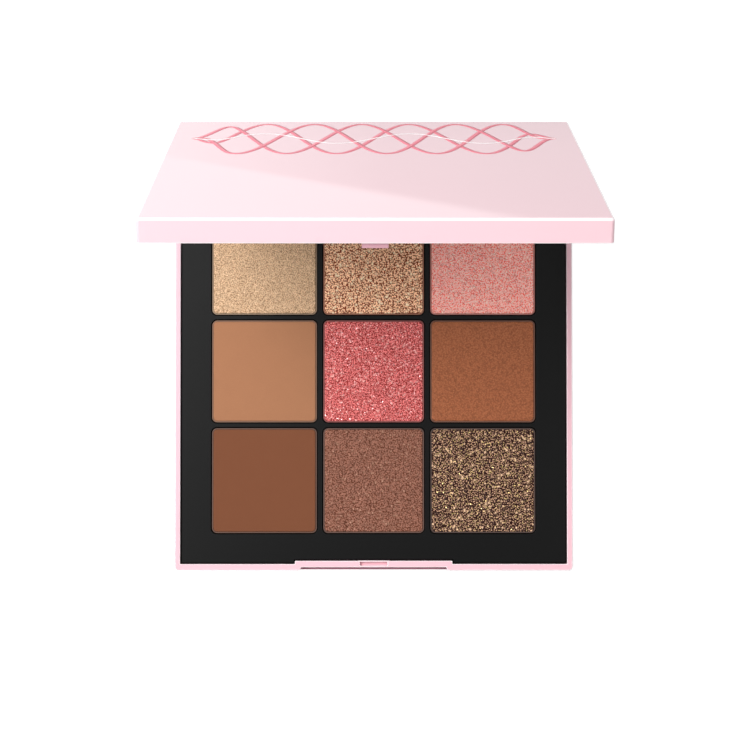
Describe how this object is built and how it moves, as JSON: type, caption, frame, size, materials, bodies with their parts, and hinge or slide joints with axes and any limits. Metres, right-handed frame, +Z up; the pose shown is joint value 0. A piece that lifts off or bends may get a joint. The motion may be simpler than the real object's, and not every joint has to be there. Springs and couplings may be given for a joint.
{
  "type": "eyeshadow palette",
  "caption": "Flat square makeup palette: black tray of pressed powder pans in a shallow pink base, with a mirrored lid on a rear pin hinge.",
  "frame": {"origin": "centre of the base's flat underside", "axes": "+Z up, +X to the user's right, +Y from the catch at the front to the hinge at the back"},
  "size_m": [0.0874, 0.0992, 0.093],
  "materials": {
    "base_pink": "glossy pale pink moulded plastic",
    "lid_pink": "glossy pearly pale pink moulded plastic",
    "tray_black": "satin black moulded plastic",
    "frame_black": "satin black moulded plastic",
    "tinplate": "thin drawn tinplate",
    "pin_steel": "drawn steel wire",
    "glue": "set hot-melt glue",
    "tape": "double-sided foam tape",
    "mirror": "silvered flat glass",
    "powder_gold": "shimmering pressed powder",
    "powder_bronze": "glittering pressed powder",
    "powder_rose_gold": "shimmering pressed powder",
    "powder_tan": "matte pressed powder",
    "powder_coral": "glittering pressed powder",
    "powder_sienna": "soft satin pressed powder",
    "powder_brown": "matte pressed powder",
    "powder_mauve": "shimmering pressed powder",
    "powder_plum": "dark pressed powder with gold glitter"
  },
  "bodies": {
    "base": {"base_shell": "base_pink", "pan_tray": "tray_black", "pan_back_left": "tinplate", "pan_back_centre": "tinplate", "pan_back_right": "tinplate", "pan_middle_left": "tinplate", "pan_middle_centre": "tinplate", "pan_middle_right": "tinplate", "pan_front_left": "tinplate", "pan_front_centre": "tinplate", "pan_front_right": "tinplate", "powder_back_left": "powder_gold", "powder_back_centre": "powder_bronze", "powder_back_right": "powder_rose_gold", "powder_middle_left": "powder_tan", "powder_middle_centre": "powder_coral", "powder_middle_right": "powder_sienna", "powder_front_left": "powder_brown", "powder_front_centre": "powder_mauve", "powder_front_right": "powder_plum", "pan_glue": "glue", "hinge_pin_left": "pin_steel", "hinge_pin_right": "pin_steel"},
    "lid": {"lid_shell": "lid_pink", "mirror_frame": "frame_black", "mirror_tape": "tape", "mirror_glass": "mirror"}
  },
  "joints": [
    {"name": "lid_hinge", "type": "hinge", "parent": "base", "child": "lid", "pos_m": [0, 0.0437, 0.0053], "axis": [-1, 0, 0], "range_deg": [-71, 34]}
  ]
}
